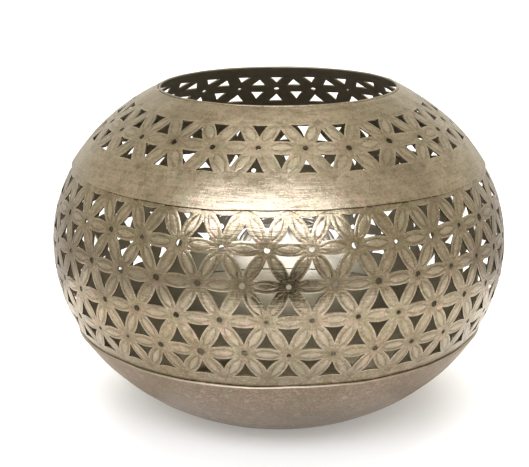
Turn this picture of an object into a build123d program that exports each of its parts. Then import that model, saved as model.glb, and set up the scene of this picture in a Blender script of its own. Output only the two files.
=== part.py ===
from build123d import *
from math import asin, cos, degrees, pi, sin, sqrt
import os

# Pierced sheet-metal bowl for a tealight: three spun sheets, lapped and soldered into one body.
# Millimetres, +Z up, origin at the middle of the flat underside. Turns are measured from -Y.

# Bowl profile: half an ellipse above the equator and half another below it.
max_radius = 105.0
height = 149.6
equator_z = 77.6
upper_semi_height = 82.6
lower_semi_height = 86.0

# Sheet and joints.
sheet = 0.7
solder_gap = 0.3
lap = 5.0
base_blend_radius = 14.0
rim_bead_radius = 0.55

# Heights of the two laps' visible edges.
upper_seam_z = 114.6
lower_seam_z = 38.9

# Pierced flowers: six petals around each hub, left standing between triangular cut-outs.
# Each cut-out's corners reach from the middle of three neighbouring hubs towards those hubs.
# Its apex is the corner on its own, its base the two that share a row. Reaches are towards the
# top edge row, an inner row and the bottom edge row.
band_flowers = 35
band_row_heights = [100.4, 85.8, 71.1, 55.8]
band_phase_pitches = -0.268
band_top_row_step = 16.2
band_bottom_row_step = 14.3
band_apex_reaches = [4.6, 5.5, 3.8]
band_base_reaches = [4.5, 5.5, 5.2]
band_cutout_bow = 0.6
shoulder_flowers = 25
shoulder_row_height = 135.7
shoulder_phase_pitches = -0.447
shoulder_row_step = 15.9
shoulder_apex_reaches = [5.1, 4.8, 5.2]
shoulder_base_reaches = [4.1, 4.1, 4.4]
shoulder_cutout_bow = 0.2
hub_hole_radius = 1.25
cutter_reach = 4.0

# The laps add one sheet and the solder to the band's outer surface.
lap_step = sheet + solder_gap


def radius_at(z, grow):
    """Radius of the bowl's profile at height z, grown outwards by grow."""
    semi = (upper_semi_height if z > equator_z else lower_semi_height) + grow
    return (max_radius + grow) * sqrt(1 - ((z - equator_z) / semi) ** 2)


def profile_arcs(grow, z_low, z_high):
    """The profile between two heights, as one elliptical arc each side of the equator."""
    arcs = []
    for semi, low, high in (
        (lower_semi_height + grow, z_low, min(z_high, equator_z)),
        (upper_semi_height + grow, max(z_low, equator_z), z_high),
    ):
        if high > low:
            start = degrees(asin((low - equator_z) / semi))
            end = degrees(asin((high - equator_z) / semi))
            centre = (0, equator_z)
            arcs.append(EllipticalCenterArc(centre, max_radius + grow, semi, start, arc_size=end - start))
    return arcs


def spun_wall(outer_grow, thickness, z_low, z_high):
    """A wall of revolution between two heights, thickness measured inwards."""
    inner_grow = outer_grow - thickness
    outer = profile_arcs(outer_grow, z_low, z_high)
    inner = profile_arcs(inner_grow, z_low, z_high)
    bottom = Line((radius_at(z_low, outer_grow), z_low), (radius_at(z_low, inner_grow), z_low))
    top = Line((radius_at(z_high, outer_grow), z_high), (radius_at(z_high, inner_grow), z_high))
    section = make_face(outer + inner + [bottom, top])
    return revolve(Plane.XZ * section, Axis.Z)


def hub_point(z, turn, grow):
    """A point on the grown profile; turn is 0 at -Y and grows towards +X."""
    radius = radius_at(z, grow)
    return Vector(radius * sin(turn), -radius * cos(turn), z)


def outward(z, turn, grow):
    """Outward normal of the grown profile."""
    semi = (upper_semi_height if z > equator_z else lower_semi_height) + grow
    slope = (z - equator_z) / semi ** 2
    level = radius_at(z, grow) / (max_radius + grow) ** 2
    return Vector(level * sin(turn), -level * cos(turn), slope).normalized()


def step_along_profile(z, distance):
    """Height reached by walking a signed distance up the profile from height z."""
    steps = 40
    for _ in range(steps):
        normal = outward(z, 0, 0)
        z += distance / steps * sqrt(1 - normal.Z ** 2)
    return z


def triangle_cutter(hubs, reaches, bow):
    """Prism between three hubs; its sides bow inwards along the three petals."""
    middle = (hubs[0] + hubs[1] + hubs[2]) / 3
    normal = (hubs[1] - hubs[0]).cross(hubs[2] - hubs[0]).normalized()
    corners = [middle + (hub - middle).normalized() * reach for hub, reach in zip(hubs, reaches)]
    sides = []
    for first, second in ((0, 1), (1, 2), (2, 0)):
        chord_middle = (corners[first] + corners[second]) / 2
        bowed = chord_middle + (middle - chord_middle).normalized() * bow
        sides.append(ThreePointArc(corners[first], bowed, corners[second]))
    face = Face(Wire(sides))
    lower = face.moved(Location(normal * -cutter_reach))
    return Solid.extrude(lower, normal * 2 * cutter_reach)


def hub_cutter(z, turn, grow):
    """Round hole at the middle of a flower."""
    normal = outward(z, turn, grow)
    start = hub_point(z, turn, grow) - normal * cutter_reach
    return Solid.make_cylinder(hub_hole_radius, 2 * cutter_reach, Plane(start, z_dir=normal))


def flower_cutters(heights, count, phase, grow, apex_reaches, base_reaches, bow):
    """Cutters for rows of flowers; the first and last heights are edge rows with no hub holes."""
    pitch = 2 * pi / count
    inner_rows = len(heights) - 2
    apex = [apex_reaches[0]] + [apex_reaches[1]] * inner_rows + [apex_reaches[2]]
    base = [base_reaches[0]] + [base_reaches[1]] * inner_rows + [base_reaches[2]]
    cutters = []
    for row in range(len(heights) - 1):
        z, below = heights[row], heights[row + 1]
        row_phase = phase + 0.5 * (row % 2)
        hanging = [base[row], base[row], apex[row + 1]]
        standing = [apex[row], base[row + 1], base[row + 1]]
        for k in range(count):
            turn = pitch * (k + row_phase)
            here = hub_point(z, turn, grow)
            beside = hub_point(z, turn + pitch, grow)
            under = hub_point(below, turn + 0.5 * pitch, grow)
            under_before = hub_point(below, turn - 0.5 * pitch, grow)
            cutters.append(triangle_cutter([here, beside, under], hanging, bow))
            cutters.append(triangle_cutter([here, under_before, under], standing, bow))
            if row > 0:
                cutters.append(hub_cutter(z, turn, grow))
    return cutters


def make_upper_shell():
    """Shoulder sheet: one row of flowers, a small turned bead at the mouth, lapped over the band."""
    bead_z = height - rim_bead_radius
    wall = spun_wall(lap_step, sheet, upper_seam_z, bead_z)
    heights = [
        step_along_profile(shoulder_row_height, shoulder_row_step),
        shoulder_row_height,
        step_along_profile(shoulder_row_height, -shoulder_row_step),
    ]
    phase = shoulder_phase_pitches - 0.5
    wall -= flower_cutters(
        heights,
        shoulder_flowers,
        phase,
        lap_step,
        shoulder_apex_reaches,
        shoulder_base_reaches,
        shoulder_cutout_bow,
    )
    bead_turn_radius = radius_at(bead_z, lap_step - sheet / 2)
    return wall + Pos(0, 0, bead_z) * Torus(bead_turn_radius, rim_bead_radius)


def make_pierced_band():
    """Middle sheet: four staggered rows of flowers."""
    wall = spun_wall(0, sheet, lower_seam_z - lap, upper_seam_z + lap)
    heights = (
        [step_along_profile(band_row_heights[0], band_top_row_step)]
        + band_row_heights
        + [step_along_profile(band_row_heights[-1], -band_bottom_row_step)]
    )
    phase = band_phase_pitches - 0.5
    return wall - flower_cutters(
        heights, band_flowers, phase, 0, band_apex_reaches, band_base_reaches, band_cutout_bow
    )


def filled_bowl(grow, z_low, z_high, blend):
    """Solid bounded by the grown profile, cut flat at both heights, with a blended lower edge."""
    arc = profile_arcs(grow, z_low, z_high)
    bottom = Line((0, z_low), (radius_at(z_low, grow), z_low))
    top = Line((0, z_high), (radius_at(z_high, grow), z_high))
    middle = Line((0, z_low), (0, z_high))
    body = revolve(Plane.XZ * make_face(arc + [bottom, top, middle]), Axis.Z)
    lower_edge = body.edges().filter_by(GeomType.CIRCLE).sort_by(Axis.Z)[0]
    return fillet(lower_edge, blend)


def make_base_dish():
    """Plain dish: flat underside, blended into the wall that laps over the band."""
    outside = filled_bowl(lap_step, 0, lower_seam_z, base_blend_radius)
    inside = filled_bowl(lap_step - sheet, sheet, lower_seam_z, base_blend_radius - sheet)
    return outside - inside


def make_solder_seam(z_low, z_high):
    """Solder that fills the gap between two lapped sheets."""
    return spun_wall(solder_gap, solder_gap, z_low, z_high)


def write_nodes():
    os.makedirs("parts", exist_ok=True)
    nodes = {
        "upper_shell": make_upper_shell(),
        "pierced_band": make_pierced_band(),
        "base_dish": make_base_dish(),
        "upper_solder_seam": make_solder_seam(upper_seam_z, upper_seam_z + lap),
        "lower_solder_seam": make_solder_seam(lower_seam_z - lap, lower_seam_z),
    }
    for name, shape in nodes.items():
        export_step(shape, f"parts/{name}.step")
        print(name, round(shape.volume / 1000, 2), "cm3")


write_nodes()
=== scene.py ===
from math import cos, pi, radians, sin

import bpy
import numpy as np
from mathutils import Matrix, Vector


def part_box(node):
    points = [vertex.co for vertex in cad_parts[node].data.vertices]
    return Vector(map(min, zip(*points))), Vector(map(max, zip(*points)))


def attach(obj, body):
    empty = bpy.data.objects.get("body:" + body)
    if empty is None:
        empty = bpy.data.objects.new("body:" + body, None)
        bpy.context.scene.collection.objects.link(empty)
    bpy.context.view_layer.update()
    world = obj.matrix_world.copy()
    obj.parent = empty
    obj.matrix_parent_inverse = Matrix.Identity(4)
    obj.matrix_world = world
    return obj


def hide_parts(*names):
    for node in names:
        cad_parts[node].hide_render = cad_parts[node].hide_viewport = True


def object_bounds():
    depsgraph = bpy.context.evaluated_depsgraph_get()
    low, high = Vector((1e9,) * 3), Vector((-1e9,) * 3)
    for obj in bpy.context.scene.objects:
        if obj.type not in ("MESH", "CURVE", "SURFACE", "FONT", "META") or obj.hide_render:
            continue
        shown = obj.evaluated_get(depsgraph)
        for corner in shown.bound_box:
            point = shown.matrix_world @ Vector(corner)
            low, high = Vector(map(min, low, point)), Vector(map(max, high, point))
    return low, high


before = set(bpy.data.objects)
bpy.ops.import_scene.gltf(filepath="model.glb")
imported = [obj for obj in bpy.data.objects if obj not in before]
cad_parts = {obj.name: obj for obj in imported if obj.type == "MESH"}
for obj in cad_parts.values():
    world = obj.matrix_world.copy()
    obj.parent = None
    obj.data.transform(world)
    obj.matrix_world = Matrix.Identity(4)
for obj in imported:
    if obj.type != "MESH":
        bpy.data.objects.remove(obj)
cad_low, cad_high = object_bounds()

# Lengths are millimetres until an object is made; lights are sized and placed in metres.
MM = 0.001

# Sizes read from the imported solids.
band_low, band_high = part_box("pierced_band")
shell_low, shell_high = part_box("upper_shell")
dish_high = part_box("base_dish")[1]
MAX_RADIUS = band_high.y / MM
HEIGHT = shell_high.z / MM
UPPER_SEAM = shell_low.z / MM
LOWER_SEAM = dish_high.z / MM
BAND_TOP = band_high.z / MM
BAND_BOTTOM = band_low.z / MM

# The bowl's design, as in the solids.
EQUATOR = 77.6
UPPER_SEMI = 82.6
LOWER_SEMI = 86.0
SHEET = 0.7
SOLDER_GAP = 0.3
LAP_STEP = SHEET + SOLDER_GAP
BEAD_RADIUS = 0.55
BASE_BLEND = 14.0
BAND_FLOWERS = 35
BAND_ROWS = [100.4, 85.8, 71.1, 55.8]
BAND_PHASE = -0.268
BAND_TOP_STEP = 16.2
BAND_BOTTOM_STEP = 14.3
BAND_APEX_REACHES = (4.6, 5.5, 3.8)
BAND_BASE_REACHES = (4.5, 5.5, 5.2)
BAND_BOW = 0.6
SHOULDER_FLOWERS = 25
SHOULDER_ROW = 135.7
SHOULDER_PHASE = -0.447
SHOULDER_STEP = 15.9
SHOULDER_APEX_REACHES = (5.1, 4.8, 5.2)
SHOULDER_BASE_REACHES = (4.1, 4.1, 4.4)
SHOULDER_BOW = 0.2
HUB_HOLE = 1.25

# Mesh density: steps along a petal, the furthest share of its width that each line across
# it may take, the border rows below and above the flowers, and the rings round the bowl.
CORNER_STEPS = 4
SIDE_STEPS = 8
PETAL_STEPS = 2 * CORNER_STEPS + SIDE_STEPS
ACROSS_CAPS = np.array([0.0, 0.16, 0.32, 0.46, 0.6, 0.76, 0.92, 1.0])
BAND_BORDER_ROWS = (5, 3)
SHOULDER_BORDER_ROWS = (10, 5)
BEAD_COLUMNS = 360
BEAD_SIDES = 14
DISH_COLUMNS = 560
DISH_FLAT_ROWS = 16
DISH_BLEND_ROWS = 8
DISH_WALL_ROWS = 40
CREASE_ANGLE = radians(38)

# Points closer than one part in this many of a millimetre are joined; hub ids stay below the
# second number, so that two of them make one code.
WELD_PARTS = 2000
HUB_LIMIT = 100000

# Chased petals: (half length, half width, groove depth) of each oval, the sizes of its lines,
# how far they vary from petal to petal, the facet round each hub and the drawn-down cut edge.
BAND_OVAL = (4.9, 1.75, 0.11)
SHOULDER_OVAL = (4.6, 2.1, 0.09)
OVAL_ROUNDNESS = 0.75
GROOVE_HALF_WIDTH = 0.26
OVAL_CROWN = 0.04
INNER_LINE = 0.07
LINED_SHARE = 0.5
LEAST_STRENGTH = 0.45
MOST_STRENGTH = 1.2
HUB_FACET_DEPTH = 0.17
HUB_FACET_RADIUS = 6.0
EDGE_DROP = 0.08
EDGE_START = 0.86
EDGE_LINE = 0.3
OVAL_LEAST = 0.3
HUB_SHADE_RADIUS = 2.4

# Share of the relief that shows on the inner skin.
INNER_RELIEF = 0.8

# The base dish's top edge, rounded over by wear.
RIM_BEVEL_HEIGHT = 0.3
RIM_BEVEL_DEPTH = 0.12

# The smallest ring of the dish's flat underside, and how far its wall starts above the blend.
DISH_MIDDLE = 0.5
WALL_START = 0.12

# Hand-made unevenness: drift of hubs, cut-out corners and hole radii, and the waves of the
# sheets' rims, (lower, upper).
HUB_DRIFT = 0.3
CORNER_DRIFT = 0.32
HOLE_DRIFT = 0.2
BAND_WAVES = (0.15, 0.1)
SHOULDER_WAVES = (0.22, 0.0)
DISH_WAVE = 0.14

# Dents in the sheets: (size, waves round the bowl, slant with height, start).
DENTS = [(0.16, 3, 0.05, 0.0), (0.12, 7, -0.09, 1.3), (0.08, 13, 0.17, 2.1), (0.05, 23, -0.31, 4.0)]

random = np.random.default_rng(11)


# ---------------------------------------------------------------- profile


def semi_height(z, grow):
    """Half height of the ellipse that the profile follows at height z."""
    return np.where(z > EQUATOR, UPPER_SEMI, LOWER_SEMI) + grow


def radius_at(z, grow):
    """Radius of the bowl's profile at height z, grown outwards by grow."""
    return (MAX_RADIUS + grow) * np.sqrt(1 - ((z - EQUATOR) / semi_height(z, grow)) ** 2)


def normals_at(points, grow):
    """Outward unit normals of the grown profile at points on it."""
    flat = points[..., :2] / (MAX_RADIUS + grow) ** 2
    rise = (points[..., 2:] - EQUATOR) / semi_height(points[..., 2:], grow) ** 2
    normals = np.concatenate([flat, rise], axis=-1)
    return normals / np.linalg.norm(normals, axis=-1, keepdims=True)


def onto_profile(points, grow):
    """Points pushed out from the bowl's middle onto the grown profile."""
    x, y, z = points[..., 0], points[..., 1], points[..., 2]
    flat = np.hypot(x, y)
    semi = semi_height(z, grow)
    tilt = np.arctan2((z - EQUATOR) / semi, flat / (MAX_RADIUS + grow))
    ratio = (MAX_RADIUS + grow) * np.cos(tilt) / flat
    return np.stack([x * ratio, y * ratio, EQUATOR + semi * np.sin(tilt)], axis=-1)


def profile_point(z, turn, grow):
    """Point on the grown profile at height z; turn is 0 at -Y and grows towards +X."""
    radius = radius_at(z, grow)
    return np.stack([radius * np.sin(turn), -radius * np.cos(turn), z + 0 * turn], axis=-1)


def step_along_profile(z, distance):
    """Height reached by walking a signed distance up the profile from height z."""
    steps = 40
    for _ in range(steps):
        point = profile_point(np.array(z), np.array(0.0), 0)
        rise = normals_at(point, 0)[..., 2]
        z = float(z + distance / steps * np.sqrt(1 - rise**2))
    return z


def dents(points):
    """Slow in-and-out waves of hand-worked sheet."""
    turn = np.arctan2(points[..., 0], -points[..., 1])
    z = points[..., 2]
    return sum(
        size * np.sin(count * turn + slant * z + start) for size, count, slant, start in DENTS
    )


# ---------------------------------------------------------------- pierced sheets


def hub_rows(heights, count, phase, grow):
    """Hub centres, row by row from the top, with a little drift in the inner rows."""
    pitch = 2 * pi / count
    rows = []
    for row, z in enumerate(heights):
        turn = pitch * (np.arange(count) + phase + 0.5 * (row % 2))
        inner = 0 < row < len(heights) - 1
        drift = HUB_DRIFT if inner else 0.0
        turn = turn + random.normal(0, drift, count) / radius_at(np.array(z), grow)
        level = z + random.normal(0, drift, count)
        rows.append(profile_point(level, turn, grow))
    return rows


def lattice(rows, count):
    """Triangles of the lattice as hub ids, anticlockwise from outside."""
    triangles = []
    for row in range(len(rows) - 1):
        top, low = row * count, (row + 1) * count
        ahead = row % 2
        for k in range(count):
            beside = (k + 1) % count
            under = (k + ahead) % count
            before = (k + ahead - 1) % count
            triangles.append((top + k, low + under, top + beside))
            triangles.append((top + k, low + before, low + under))
    return np.array(triangles)


def oval_width(along, oval):
    """Half width of the chased oval at a place along its petal."""
    half_length, half_width, _ = oval
    share = np.clip(1 - (along / half_length) ** 2, 0, 1)
    return np.maximum(half_width * share**OVAL_ROUNDNESS, OVAL_LEAST)


def petal_strips(hubs, holes, cutouts, triangles, bow, oval):
    """Grids of points that fill each triangle between its petals' centre lines and its cut-out.

    cutouts holds the distance from each triangle's middle to its cut-out's three corners.
    """
    fractions = np.linspace(0, 1, PETAL_STEPS + 1)
    climb = np.linspace(0, 1, CORNER_STEPS + 1)[None, :, None]
    side = np.linspace(0, 1, SIDE_STEPS + 1)[None, :, None]
    sample = np.arange(PETAL_STEPS + 1)
    beside_hole = (sample >= CORNER_STEPS) & (sample <= PETAL_STEPS - CORNER_STEPS)
    middle = hubs[triangles].mean(axis=1)
    parts = []
    for first, second in ((0, 1), (1, 2), (2, 0)):
        start, end = hubs[triangles[:, first]], hubs[triangles[:, second]]
        start_hole, end_hole = holes[triangles[:, first]], holes[triangles[:, second]]
        span = np.linalg.norm(end - start, axis=1)
        travel = start_hole[:, None] + fractions * (span - start_hole - end_hole)[:, None]
        centre = start[:, None] + unit(end - start)[:, None] * travel[..., None]

        corner_start = middle + unit(start - middle) * cutouts[:, first, None]
        corner_end = middle + unit(end - middle) * cutouts[:, second, None]
        hole_start = start + unit(middle - start) * start_hole[:, None]
        hole_end = end + unit(middle - end) * end_hole[:, None]
        lead_in = hole_start[:, None] * (1 - climb) + corner_start[:, None] * climb
        lead_out = corner_end[:, None] * (1 - climb) + hole_end[:, None] * climb
        chord_middle = (corner_start + corner_end) / 2
        bow_line = unit(middle - chord_middle) * bow
        arc = corner_start[:, None] * (1 - side) + corner_end[:, None] * side
        arc = arc + bow_line[:, None] * (4 * side * (1 - side))
        edge = np.concatenate([lead_in, arc[:, 1:-1], lead_out], axis=1)

        width = np.linalg.norm(edge - centre, axis=2)
        along = travel - span[:, None] / 2
        half = oval_width(along, oval)
        inner = half - np.minimum(GROOVE_HALF_WIDTH, 0.45 * half)
        outer = half + GROOVE_HALF_WIDTH
        late = width - EDGE_LINE
        offsets = np.stack(
            [0 * half, 0.5 * half, inner, half, outer, (outer + late) / 2, late, width], axis=2
        )
        share = np.minimum(offsets / np.maximum(width, 1e-6)[..., None], ACROSS_CAPS)
        share = np.maximum.accumulate(share, axis=2)
        share[..., -1] = 1.0
        points = centre[:, :, None] + (edge - centre)[:, :, None] * share[..., None]
        near_start = np.linalg.norm(points - start[:, None, None], axis=3)
        near_end = np.linalg.norm(points - end[:, None, None], axis=3)
        parts.append(
            {
                "points": points,
                "along": np.broadcast_to(along[..., None], share.shape),
                "across": share * width[..., None],
                "width": np.broadcast_to(width[..., None], share.shape),
                "petal": petal_code(triangles[:, first], triangles[:, second]),
                "reach": np.minimum(near_start, near_end),
                "cut": np.broadcast_to(beside_hole[None, :, None], share.shape),
            }
        )
    return {key: np.concatenate([part[key] for part in parts]) for key in parts[0]}


def petal_code(first, second):
    """One number for the petal between two hubs, whichever way round they are named."""
    return np.minimum(first, second) * HUB_LIMIT + np.maximum(first, second)


def unit(vectors):
    """Vectors scaled to length 1."""
    return vectors / np.linalg.norm(vectors, axis=-1, keepdims=True)


def petal_relief(strips, edge_petals, oval):
    """Height of the chased relief on every grid point, how sheltered it is and how worn."""
    _, petal = np.unique(strips["petal"], return_inverse=True)
    count = petal.max() + 1
    strength = random.uniform(LEAST_STRENGTH, MOST_STRENGTH, count)[petal][:, None, None]
    lined = (random.random(count) < LINED_SHARE)[petal][:, None, None]
    on_edge = np.isin(strips["petal"], edge_petals)[:, None, None]
    strength = np.where(on_edge, 0.0, strength)
    along, across, width = strips["along"], strips["across"], strips["width"]
    half_length, _, depth = oval
    half = oval_width(along, oval)
    fade = np.clip(half_length + 0.5 - np.abs(along), 0, 1)
    groove = np.exp(-(((across - half) / GROOVE_HALF_WIDTH) ** 2) * 1.6) * fade
    inside = np.clip(1 - (across / half) ** 2, 0, 1) * fade
    inner_line = lined * np.exp(-(((across / half - 0.5) / 0.16) ** 2)) * fade
    ratio = np.clip(across / np.maximum(width, 1e-6), 0, 1)
    facet = np.clip(1 - (strips["reach"] / HUB_FACET_RADIUS) ** 2, 0, 1) * ~on_edge
    hub = np.exp(-((strips["reach"] / HUB_SHADE_RADIUS) ** 2)) * ~on_edge
    lip = np.clip((ratio - EDGE_START) / (1 - EDGE_START), 0, 1) * strips["cut"]
    height = -HUB_FACET_DEPTH * facet - EDGE_DROP * lip
    height = height + strength * (OVAL_CROWN * inside - depth * groove - INNER_LINE * inner_line)
    sheltered = np.clip((0.9 * groove + 0.5 * inner_line) * strength + 0.5 * hub, 0, 1)
    wear_and_highlight = np.clip(0.8 * lip + 0.5 * inside * strength, 0, 1)
    return height, sheltered, wear_and_highlight


def grid_faces(cells_along, cells_across, count):
    """Quads of count stacked grids of (cells_along + 1) by (cells_across + 1) points."""
    wide = cells_across + 1
    i, k = np.meshgrid(np.arange(cells_along), np.arange(cells_across), indexing="ij")
    corner = (i * wide + k).ravel()
    quads = np.stack([corner, corner + wide, corner + wide + 1, corner + 1], axis=1)
    offset = (np.arange(count) * (cells_along + 1) * wide)[:, None, None]
    return (quads[None] + offset).reshape(-1, 4)


def corner_reaches(rows, last, design):
    """Reach of each cut-out's corners; rows holds the row of each corner's hub."""
    hanging = rows.sum(axis=1, keepdims=True) % 3 == 1
    alone = np.where(hanging, rows.max(axis=1, keepdims=True), rows.min(axis=1, keepdims=True))
    kind = np.where(rows == 0, 0, np.where(rows == last, 2, 1))
    apex, base = np.array(design["apex"])[kind], np.array(design["base"])[kind]
    return np.where(rows == alone, apex, base)


def plain_strip(row_points, grow, z_edge, rows, upward, wave):
    """A plain border between an edge row of hubs and the sheet's rim at z_edge."""
    fractions = np.linspace(0, 1, PETAL_STEPS + 1)[:-1]
    following = np.roll(row_points, -1, axis=0)
    line = row_points[:, None] + (following - row_points)[:, None] * fractions[None, :, None]
    line = line.reshape(-1, 3)
    turn = np.arctan2(line[:, 0], -line[:, 1])
    unevenness = np.sin(5 * turn + 0.8) + 0.6 * np.sin(11 * turn + 2.0) + 0.35 * np.sin(29 * turn)
    rim_z = z_edge + wave * unevenness
    start_z = onto_profile(line, grow)[:, 2]
    columns = len(line)
    rings, faces = [line], []
    for step in range(1, rows + 1):
        share = step / rows
        z = start_z * (1 - share) + rim_z * share
        rings.append(profile_point(z, turn, grow))
        quads = ring_quads((step - 1) * columns, step * columns, columns)
        faces.append(quads if upward else quads[:, ::-1])
    return np.concatenate(rings), np.concatenate(faces)


def pierced_sheet(design, grow, z_low, z_high, waves, border_rows):
    """Points of the outer skin of one pierced sheet, what they carry, and its faces."""
    count = design["flowers"]
    rows = hub_rows(design["heights"], count, design["phase"], grow)
    hubs = np.concatenate(rows)
    last_row = (len(rows) - 1) * count
    holes = HUB_HOLE + random.normal(0, HOLE_DRIFT, len(hubs))
    holes[:count] = 0.0
    holes[last_row:] = 0.0
    triangles = lattice(rows, count)
    cutouts = corner_reaches(triangles // count, len(rows) - 1, design)
    cutouts = cutouts + random.normal(0, CORNER_DRIFT, triangles.shape)
    strips = petal_strips(hubs, holes, cutouts, triangles, design["bow"], design["oval"])
    along_row = np.arange(count)
    edge_petals = [
        petal_code(base + along_row, base + (along_row + 1) % count) for base in (0, last_row)
    ]
    carried = petal_relief(strips, np.concatenate(edge_petals), design["oval"])
    stacked, samples, lines = strips["points"].shape[:3]
    points = [strips["points"].reshape(-1, 3)]
    carried = [np.stack([values.ravel() for values in carried], axis=1)]
    faces = [grid_faces(samples - 1, lines - 1, stacked)]
    total = len(points[0])
    borders = (
        (rows[0], z_high, True, waves[1], border_rows[1]),
        (rows[-1], z_low, False, waves[0], border_rows[0]),
    )
    for row, z_edge, upward, wave, steps in borders:
        ring, quads = plain_strip(row, grow, z_edge, steps, upward, wave)
        points.append(ring)
        carried.append(np.full((len(ring), 3), np.nan))
        faces.append(quads + total)
        total += len(ring)
    return weld(np.concatenate(points), np.concatenate(carried), np.concatenate(faces))


def weld(points, carried, faces):
    """Joins points that share a place and averages what they carry; bare points carry nothing."""
    keys = np.round(points * WELD_PARTS).astype(np.int64)
    _, first, joined = np.unique(keys, axis=0, return_index=True, return_inverse=True)
    joined = joined.ravel()
    known = ~np.isnan(carried[:, 0])
    share = np.maximum(np.bincount(joined[known], minlength=len(first)), 1)
    means = [
        np.bincount(joined[known], weights=column[known], minlength=len(first)) / share
        for column in carried.T
    ]
    return points[first], np.stack(means, axis=1), joined[faces]


def close_sheet(outer, inner, faces):
    """Adds the inner skin and the cut edges, so that the sheet is one closed solid."""
    count = len(outer)
    edges = np.concatenate([faces[:, [0, 1]], faces[:, [1, 2]], faces[:, [2, 3]], faces[:, [3, 0]]])
    edges = edges[edges[:, 0] != edges[:, 1]]
    low = edges.min(axis=1).astype(np.int64)
    high = edges.max(axis=1).astype(np.int64)
    code = low * (count + 1) + high
    _, index, uses = np.unique(code, return_index=True, return_counts=True)
    open_edges = edges[index[uses == 1]]
    a, b = open_edges[:, 0], open_edges[:, 1]
    rim = np.stack([b, a, a + count, b + count], axis=1)
    points = np.concatenate([outer, inner])
    return points, np.concatenate([faces, faces[:, ::-1] + count, rim])


def make_mesh(name, points, faces, attributes):
    """A mesh object in metres; repeated corners in a face are dropped."""
    polygons = []
    for face in faces.tolist():
        corners = [v for n, v in enumerate(face) if v != face[n - 1]]
        if len(set(corners)) == len(corners) and len(corners) > 2:
            polygons.append(corners)
    mesh = bpy.data.meshes.new(name)
    mesh.from_pydata((points * MM).tolist(), [], polygons)
    for key, values in attributes.items():
        layer = mesh.attributes.new(key, "FLOAT", "POINT")
        layer.data.foreach_set("value", np.asarray(values, np.float32))
    mesh.validate()
    mesh.shade_smooth()
    mesh.set_sharp_from_angle(angle=CREASE_ANGLE)
    return add_object(name, mesh)


def solid_sheet(skin, grow):
    """The pierced skin, dented, given its thickness and closed, with its three attributes."""
    points, carried, faces = skin
    relief, sheltered, wear_and_highlight = carried.T
    base = onto_profile(points, grow)
    normals = normals_at(base, grow)
    wobble = dents(base)
    outer = base + normals * (relief + wobble)[:, None]
    inner = base + normals * (INNER_RELIEF * relief + wobble - SHEET)[:, None]
    points, faces = close_sheet(outer, inner, faces)
    bare = np.zeros(len(outer))
    attributes = {
        "shelter": np.concatenate([sheltered, bare]),
        "wear_and_highlight": np.concatenate([wear_and_highlight, bare]),
        "inside": np.concatenate([bare, bare + 1]),
    }
    return points, faces, attributes


def make_band():
    """The pierced band, with four rows of flowers between two plain strips."""
    top_edge = step_along_profile(BAND_ROWS[0], BAND_TOP_STEP)
    bottom_edge = step_along_profile(BAND_ROWS[-1], -BAND_BOTTOM_STEP)
    design = {
        "flowers": BAND_FLOWERS,
        "heights": [top_edge] + BAND_ROWS + [bottom_edge],
        "phase": BAND_PHASE - 0.5,
        "apex": BAND_APEX_REACHES,
        "base": BAND_BASE_REACHES,
        "bow": BAND_BOW,
        "oval": BAND_OVAL,
    }
    skin = pierced_sheet(design, 0.0, BAND_BOTTOM, BAND_TOP, BAND_WAVES, BAND_BORDER_ROWS)
    return make_mesh("band_sheet", *solid_sheet(skin, 0.0))


def make_shoulder():
    """The shoulder sheet, with one row of flowers, and the bead round the mouth."""
    top_edge = step_along_profile(SHOULDER_ROW, SHOULDER_STEP)
    bottom_edge = step_along_profile(SHOULDER_ROW, -SHOULDER_STEP)
    design = {
        "flowers": SHOULDER_FLOWERS,
        "heights": [top_edge, SHOULDER_ROW, bottom_edge],
        "phase": SHOULDER_PHASE - 0.5,
        "apex": SHOULDER_APEX_REACHES,
        "base": SHOULDER_BASE_REACHES,
        "bow": SHOULDER_BOW,
        "oval": SHOULDER_OVAL,
    }
    bead_z = HEIGHT - BEAD_RADIUS
    skin = pierced_sheet(
        design, LAP_STEP, UPPER_SEAM, bead_z, SHOULDER_WAVES, SHOULDER_BORDER_ROWS
    )
    points, faces, attributes = solid_sheet(skin, LAP_STEP)
    ring_points, ring_faces, ring_inside = bead(bead_z)
    faces = np.concatenate([faces, ring_faces + len(points)])
    points = np.concatenate([points, ring_points])
    carried = {"shelter": 0 * ring_inside, "wear_and_highlight": 0 * ring_inside, "inside": ring_inside}
    attributes = {key: np.concatenate([attributes[key], carried[key]]) for key in attributes}
    return make_mesh("shoulder_sheet", points, faces, attributes)


def bead(bead_z):
    """The turned edge at the mouth, a slightly uneven ring, in the inside's tone towards the inside
    and partly so over its top as painted shade.
    """
    turn = np.linspace(0, 2 * pi, BEAD_COLUMNS, endpoint=False)
    radius = float(radius_at(np.array(bead_z), LAP_STEP - SHEET / 2))
    thick = BEAD_RADIUS * (1 + 0.06 * np.sin(9 * turn) + 0.05 * np.sin(23 * turn + 1))
    flattened = 0.92
    rings, inside, faces = [], [], []
    for k in range(BEAD_SIDES):
        angle = 2 * pi * k / BEAD_SIDES
        flat = radius + thick * cos(angle)
        z = bead_z + thick * sin(angle) * flattened
        rings.append(np.stack([flat * np.sin(turn), -flat * np.cos(turn), z], axis=1))
        # The inside's tone on the inward side, and a quarter of it over the top of the bead as
        # painted shade.
        inside_tone_and_top_shade = min(1.0, max(0.0, 0.25 - 0.9 * cos(angle)))
        inside.append(np.full(BEAD_COLUMNS, inside_tone_and_top_shade))
        ahead = (k + 1) % BEAD_SIDES
        faces.append(ring_quads(k * BEAD_COLUMNS, ahead * BEAD_COLUMNS, BEAD_COLUMNS))
    return np.concatenate(rings), np.concatenate(faces), np.concatenate(inside)


def ring_quads(low, high, columns):
    """Quads between two rings of points that start at indices low and high."""
    n = np.arange(columns)
    ahead = (n + 1) % columns
    return np.stack([low + n, low + ahead, high + ahead, high + n], axis=1)


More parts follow.
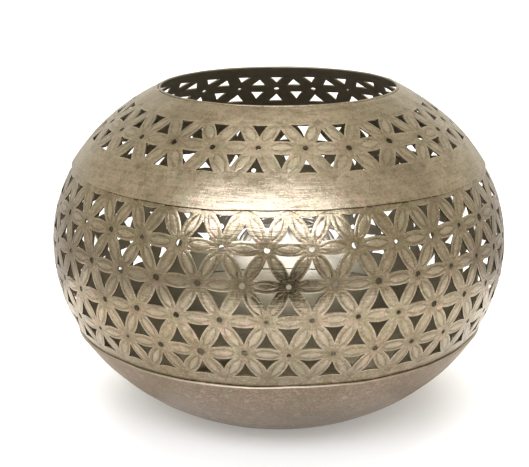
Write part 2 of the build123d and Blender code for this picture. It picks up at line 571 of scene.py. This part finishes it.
def make_dish():
    """Base dish: flat underside, blended edge, wall up to the lower lap."""
    columns = DISH_COLUMNS
    turn = np.linspace(0, 2 * pi, columns, endpoint=False)
    rim_wave = np.sin(6 * turn + 1.0) + 0.6 * np.sin(13 * turn + 0.4) + 0.3 * np.sin(31 * turn)
    outline = dish_outline()
    rings_out, rings_in, faces = [], [], []
    for flat, z, across, upward, wall in outline:
        lift = DISH_WAVE * rim_wave * wall**6
        ring = np.stack([flat * np.sin(turn), -flat * np.cos(turn), z + lift], axis=1)
        normal = np.stack([across * np.sin(turn), -across * np.cos(turn), upward + 0 * turn], axis=1)
        wobble = (dents(ring) * min(1.0, wall * 3))[:, None]
        rings_out.append(ring + normal * wobble)
        rings_in.append(ring + normal * (wobble - SHEET))
    for k in range(len(outline) - 1):
        faces.append(ring_quads(k * columns, (k + 1) * columns, columns))
    outer, inner = np.concatenate(rings_out), np.concatenate(rings_in)
    points, faces = close_sheet(outer, inner, np.concatenate(faces))
    # The top ring of the dish is painted bright and made less metallic: a painted highlight on its
    # upward edge, partly also rubbed wear.
    lip = np.zeros(len(outer))
    lip[-columns:] = 1.0
    lip = np.tile(lip, 2)
    inside = np.repeat([0.0, 1.0], len(outer)) * (1 - lip)
    attributes = {"shelter": 0 * lip, "wear_and_highlight": lip, "inside": inside, "highlight_matte": 0.35 * lip}
    return make_mesh("dish_sheet", points, faces, attributes)


def dish_outline():
    """Rings of the dish, from the middle out: radius, z, the normal's two parts, share of wall."""
    corner = profile_point(np.array(0.0), np.array(0.0), LAP_STEP)
    lean = float(np.arccos(-normals_at(corner, LAP_STEP)[2]))
    flat_end = float(-corner[1]) - BASE_BLEND * np.tan(lean / 2)
    flats = np.linspace(DISH_MIDDLE, flat_end, DISH_FLAT_ROWS)
    outline = [(flat, 0.0, 0.0, -1.0, 0.0) for flat in flats]
    for k in range(1, DISH_BLEND_ROWS):
        angle = lean * k / DISH_BLEND_ROWS
        flat = flat_end + BASE_BLEND * sin(angle)
        z = BASE_BLEND * (1 - cos(angle))
        outline.append((flat, z, sin(angle), -cos(angle), 0.0))
    z_start = BASE_BLEND * (1 - cos(lean)) + WALL_START
    for k in range(DISH_WALL_ROWS + 1):
        wall = k / DISH_WALL_ROWS
        z = z_start + (LOWER_SEAM - z_start) * wall
        point = profile_point(np.array(z), np.array(0.0), LAP_STEP)
        normal = normals_at(point, LAP_STEP)
        outline.append((-float(point[1]), z, -float(normal[1]), float(normal[2]), wall))
    flat, z, across, upward, wall = outline[-1]
    outline[-1] = (flat, z - RIM_BEVEL_HEIGHT, across, upward, wall)
    outline.append((flat - RIM_BEVEL_DEPTH, z, across, upward, wall))
    return outline


# ---------------------------------------------------------------- materials


BLACK = (0.0, 0.0, 0.0)
WHITE = (1.0, 1.0, 1.0)
BRIGHT = (0.6, 0.53, 0.42)
PATINA = (0.1, 0.08, 0.05)
COPPER_TINT = (0.46, 0.32, 0.26)
OLIVE_TINT = (0.3, 0.3, 0.18)


def node(tree, kind, inputs=None, **settings):
    """A new shader node with its settings and the values of its inputs."""
    made = tree.nodes.new(kind)
    for key, value in settings.items():
        setattr(made, key, value)
    for key, value in (inputs or {}).items():
        made.inputs[key].default_value = value
    return made


def link_or_set(tree, value, socket):
    """Links a node's output to the socket, or sets the socket to a plain value or colour."""
    if isinstance(value, bpy.types.NodeSocket):
        tree.links.new(value, socket)
    elif isinstance(value, tuple):
        socket.default_value = (*value, 1)
    else:
        socket.default_value = value


def maths(tree, operation, first, second):
    """The output of a maths node on two values or node outputs."""
    made = node(tree, "ShaderNodeMath", operation=operation)
    link_or_set(tree, first, made.inputs[0])
    link_or_set(tree, second, made.inputs[1])
    return made.outputs[0]


def weighted_sum(tree, parts, start=0.0):
    """The sum of (value, weight) pairs, from a starting value."""
    total = start
    for value, weight in parts:
        total = maths(tree, "ADD", maths(tree, "MULTIPLY", value, weight), total)
    return total


def ramp(tree, source, low, low_colour, high, high_colour):
    """Colour that goes from one at the low place to the other at the high place."""
    made = tree.nodes.new("ShaderNodeValToRGB")
    stops = zip(made.color_ramp.elements, (low, high), (low_colour, high_colour))
    for element, place, colour in stops:
        element.position = place
        element.color = (*colour, 1)
    tree.links.new(source, made.inputs["Fac"])
    return made.outputs["Color"]


def mix(tree, factor, first, second):
    """Mixes two colours."""
    made = node(tree, "ShaderNodeMix", data_type="RGBA")
    for socket, value in zip((0, 6, 7), (factor, first, second)):
        link_or_set(tree, value, made.inputs[socket])
    return made.outputs[2]


def stain(tree, base, colour, mask, amount):
    """The base colour with another one mixed in where the mask is bright, by an amount."""
    return mix(tree, maths(tree, "MULTIPLY", mask, amount), base, colour)


def noise(tree, vector, scale, detail=4.0, roughness=0.55):
    """Even noise at a scale, in waves per metre."""
    settings = {"Scale": scale, "Detail": detail, "Roughness": roughness}
    made = node(tree, "ShaderNodeTexNoise", settings)
    tree.links.new(vector, made.inputs["Vector"])
    return made.outputs["Fac"]


def point_value(tree, name):
    """A value that the mesh carries at its points; 0 where it carries none."""
    return node(tree, "ShaderNodeAttribute", attribute_name=name).outputs["Fac"]


def add_bump(tree, shader, height, strength, distance):
    """Fine unevenness of the surface; distance is in metres."""
    bump = node(tree, "ShaderNodeBump", {"Distance": distance})
    link_or_set(tree, strength, bump.inputs["Strength"])
    tree.links.new(height, bump.inputs["Height"])
    tree.links.new(bump.outputs[0], shader.inputs["Normal"])


def new_material(name):
    """A material with its node tree and its shader."""
    material = bpy.data.materials.new(name)
    material.use_nodes = True
    tree = material.node_tree
    return material, tree, tree.nodes["Principled BSDF"]


def aged_brass(name, light, deep, inner, rough, inner_rough, streaks):
    """Worn brass: warm metal, brown patina in the recesses and in slow clouds, level streaks, bright
    rubbed wear, and a painted highlight where the mesh asks for one.
    """
    material, tree, shader = new_material(name)
    place = node(tree, "ShaderNodeTexCoord").outputs["Object"]
    level = node(tree, "ShaderNodeMapping", {"Scale": (1.0, 1.0, 14.0)})
    tree.links.new(place, level.inputs["Vector"])
    clouds = noise(tree, place, 38.0, 5.0)
    mottle = noise(tree, place, 190.0, 6.0, 0.65)
    tint = noise(tree, place, 210.0)
    fleck = noise(tree, place, 520.0, 5.0, 0.7)
    speck = noise(tree, place, 1100.0, 3.0)
    streak = noise(tree, level.outputs[0], 70.0, 6.0, 0.6)
    shelter = point_value(tree, "shelter")
    inside = point_value(tree, "inside")

    tone = weighted_sum(tree, [(mottle, 0.4), (streak, streaks), (clouds, 0.2), (fleck, 0.3)])
    base = ramp(tree, tone, 0.48, deep, 0.72, light)
    base = stain(tree, base, COPPER_TINT, ramp(tree, tint, 0.56, BLACK, 0.68, WHITE), 0.6)
    base = stain(tree, base, OLIVE_TINT, ramp(tree, tint, 0.32, WHITE, 0.44, BLACK), 0.5)
    base = stain(tree, base, PATINA, ramp(tree, speck, 0.52, BLACK, 0.66, WHITE), 0.26)
    base = stain(tree, base, BRIGHT, ramp(tree, speck, 0.34, WHITE, 0.46, BLACK), 0.28)
    base = stain(tree, base, PATINA, ramp(tree, clouds, 0.45, BLACK, 0.72, WHITE), 0.45)
    base = stain(tree, base, PATINA, shelter, 0.95)
    # Bright brass on the raised ovals and cut edges as rubbed wear, and on the dish's top edge as a
    # painted highlight.
    base = stain(tree, base, BRIGHT, point_value(tree, "wear_and_highlight"), 0.5)
    inner_base = stain(tree, inner, PATINA, mottle, 0.5)
    tree.links.new(mix(tree, inside, base, inner_base), shader.inputs["Base Color"])

    # Less metal on the dish's top edge, so that its painted highlight shows as a pale line.
    metal = maths(tree, "SUBTRACT", 1.0, point_value(tree, "highlight_matte"))
    tree.links.new(metal, shader.inputs["Metallic"])

    outer_gloss = weighted_sum(tree, [(mottle, 0.24), (shelter, 0.05)], rough - 0.12)
    inner_gloss = weighted_sum(tree, [(mottle, 0.14)], inner_rough - 0.07)
    gloss = node(tree, "ShaderNodeMix", data_type="FLOAT")
    for socket, value in zip((0, 2, 3), (inside, outer_gloss, inner_gloss)):
        tree.links.new(value, gloss.inputs[socket])
    tree.links.new(gloss.outputs[0], shader.inputs["Roughness"])

    grain = weighted_sum(tree, [(streak, 0.7), (mottle, 0.5), (fleck, 0.3)])
    add_bump(tree, shader, grain, weighted_sum(tree, [(inside, -0.4)], 0.5), 0.0004)
    return material


def solder_metal(name, dark, light, metallic):
    """Dull solder with a cast, pitted surface."""
    material, tree, shader = new_material(name)
    shader.inputs["Metallic"].default_value = metallic
    shader.inputs["Roughness"].default_value = 0.6
    place = node(tree, "ShaderNodeTexCoord").outputs["Object"]
    pits = noise(tree, place, 420.0, 5.0)
    tree.links.new(ramp(tree, pits, 0.3, dark, 0.7, light), shader.inputs["Base Color"])
    add_bump(tree, shader, pits, 0.6, 0.0003)
    return material


def plain_matte(name, colour, glow=0.0):
    """Matte paint, with a little light of its own where glow is above 0."""
    material, _, shader = new_material(name)
    shader.inputs["Base Color"].default_value = (*colour, 1)
    shader.inputs["Roughness"].default_value = 0.9
    shader.inputs["Emission Color"].default_value = (*WHITE, 1)
    shader.inputs["Emission Strength"].default_value = glow
    return material


# ---------------------------------------------------------------- studio


CAMERA_DISTANCE = 622.8
CAMERA_RISE = 252.5
CAMERA_PITCH = 0.2721
CAMERA_YAW = -0.0105
CAMERA_ROLL = -0.0031
FLOOR_GAP = 0.2
FLOOR_SIDE = 12000
HORIZON = (0.95, 0.91, 0.8)
SKY = (0.86, 0.82, 0.69)

# Cards that only the metal reflects: middle, size, whether upright, colour.
CARDS = {
    "camera_shade": ((12, -560, 82), (230, 150), True, BLACK),
    "table_shade": ((15, -530, 1), (420, 340), False, (0.25, 0.22, 0.17)),
    "table_left": ((-1610, -1500, 0.5), (2800, 3000), False, (0.5, 0.48, 0.47)),
    "table_right": ((1650, -1500, 0.5), (2800, 3000), False, (0.64, 0.62, 0.61)),
    "beside_left": ((-145, -30, 0.6), (170, 260), False, (0.86, 0.82, 0.77)),
    "beside_right": ((145, -30, 0.6), (170, 260), False, (0.93, 0.91, 0.88)),
    "table_behind": ((0, 1500, 0.5), (6100, 2900), False, (0.42, 0.4, 0.39)),
}


def add_object(name, data):
    """A new object in the scene."""
    thing = bpy.data.objects.new(name, data)
    bpy.context.scene.collection.objects.link(thing)
    return thing


def make_camera():
    """Looks a little down on the bowl from the front."""
    data = bpy.data.cameras.new("camera")
    data.sensor_width = 36.0
    data.lens = 93.4
    data.clip_start = 0.01
    camera = add_object("camera", data)
    pitch, yaw, roll = CAMERA_PITCH, CAMERA_YAW, CAMERA_ROLL
    ahead = Vector((sin(yaw) * cos(pitch), cos(yaw) * cos(pitch), -sin(pitch)))
    level = Vector((cos(yaw), -sin(yaw), 0))
    upright = level.cross(ahead)
    right = level * cos(roll) + upright * sin(roll)
    top = upright * cos(roll) - level * sin(roll)
    turn = Matrix((right, top, -ahead)).transposed().to_4x4()
    place = Vector((0, -CAMERA_DISTANCE, CAMERA_RISE)) * MM
    camera.matrix_world = Matrix.Translation(place) @ turn
    bpy.context.scene.camera = camera


def make_light(name, azimuth, elevation, reach, size, energy, colour=WHITE):
    """A soft rectangular light, in metres, on a sphere round the bowl and facing its middle."""
    data = bpy.data.lights.new(name, "AREA")
    data.shape = "RECTANGLE"
    data.size, data.size_y = size
    data.energy = energy
    data.color = colour
    light = add_object(name, data)
    a, e = radians(azimuth), radians(elevation)
    away = Vector((sin(a) * cos(e), -cos(a) * cos(e), sin(e)))
    light.location = (cad_low + cad_high) / 2 + away * reach
    light.rotation_euler = (-away).to_track_quat("-Z", "Y").to_euler()
    return light


def make_panel(name, middle, size, material):
    """A flat rectangle that lies level, for the studio only."""
    mesh = bpy.data.meshes.new(name)
    wide, tall = size[0] / 2 * MM, size[1] / 2 * MM
    corners = [(-wide, -tall, 0), (wide, -tall, 0), (wide, tall, 0), (-wide, tall, 0)]
    mesh.from_pydata(corners, [], [(0, 1, 2, 3)])
    mesh.materials.append(material)
    panel = add_object(name, mesh)
    panel.location = Vector(middle) * MM
    return panel


def make_cards():
    """What the metal reflects of the room: the camera's dark shape and the table's tones."""
    for name, (middle, size, upright, colour) in CARDS.items():
        card = make_panel(name, middle, size, plain_matte(name, colour))
        card.rotation_euler.x = pi / 2 if upright else 0.0
        card.visible_camera = False
        card.visible_shadow = False
        card.visible_diffuse = False


def make_sky():
    """A warm, even sky, palest at the horizon."""
    world = bpy.data.worlds.new("studio")
    bpy.context.scene.world = world
    world.use_nodes = True
    tree = world.node_tree
    split = node(tree, "ShaderNodeSeparateXYZ")
    tree.links.new(node(tree, "ShaderNodeTexCoord").outputs["Generated"], split.inputs[0])
    colour = ramp(tree, split.outputs["Z"], 0.15, HORIZON, 0.75, SKY)
    tree.links.new(colour, tree.nodes["Background"].inputs["Color"])


def make_studio():
    """Soft lights, the sky, what the metal reflects, and a plain pale floor."""
    make_sky()
    make_light("key", -10, 44, 1.1, (1.2, 0.42), 8.4, (0.93, 0.99, 1.14))
    make_light("overhead", 0, 88, 1.2, (0.8, 0.8), 1.3)
    wash = make_light("background_wash", 180, 62, 2.4, (3.0, 2.0), 60.0)
    wash.visible_glossy = False
    make_cards()
    white = plain_matte("floor_white", (0.8, 0.8, 0.8), glow=0.25)
    make_panel("floor", (0, 0, -FLOOR_GAP), (FLOOR_SIDE, FLOOR_SIDE), white)
    bpy.context.scene.view_settings.view_transform = "Standard"


# ---------------------------------------------------------------- assembly


def stand_for(piece, cad_node, material):
    """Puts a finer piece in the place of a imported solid, with its material."""
    piece.data.materials.append(material)
    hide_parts(cad_node)
    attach(piece, "root")


make_camera()
make_studio()

band_brass = aged_brass(
    "band_brass",
    light=(0.37, 0.31, 0.225),
    deep=(0.22, 0.17, 0.105),
    inner=(0.46, 0.41, 0.32),
    rough=0.19,
    inner_rough=0.3,
    streaks=0.25,
)
shoulder_brass = aged_brass(
    "shoulder_brass",
    light=(0.405, 0.335, 0.243),
    deep=(0.19, 0.145, 0.09),
    inner=(0.34, 0.31, 0.25),
    rough=0.27,
    inner_rough=0.45,
    streaks=0.45,
)
base_brass = aged_brass(
    "base_brass",
    light=(0.31, 0.23, 0.162),
    deep=(0.215, 0.158, 0.112),
    inner=(0.44, 0.4, 0.32),
    rough=0.38,
    inner_rough=0.24,
    streaks=0.3,
)
# The same solder in two tones: near black at the upper seam, partly a dark joint and partly painted
# shade under the shell's edge, and pale at the lower seam as painted light over the shade of the
# crease.
dark_and_shaded_solder = solder_metal("dark_and_shaded_solder", (0.05, 0.042, 0.032), (0.16, 0.14, 0.11), 0.8)
lit_solder = solder_metal("lit_solder", (0.5, 0.44, 0.35), (0.8, 0.72, 0.6), 0.2)

stand_for(make_band(), "pierced_band", band_brass)
stand_for(make_shoulder(), "upper_shell", shoulder_brass)
stand_for(make_dish(), "base_dish", base_brass)

seams = {"upper_solder_seam": dark_and_shaded_solder, "lower_solder_seam": lit_solder}
for seam, solder in seams.items():
    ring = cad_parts[seam]
    ring.data.materials.clear()
    ring.data.materials.append(solder)
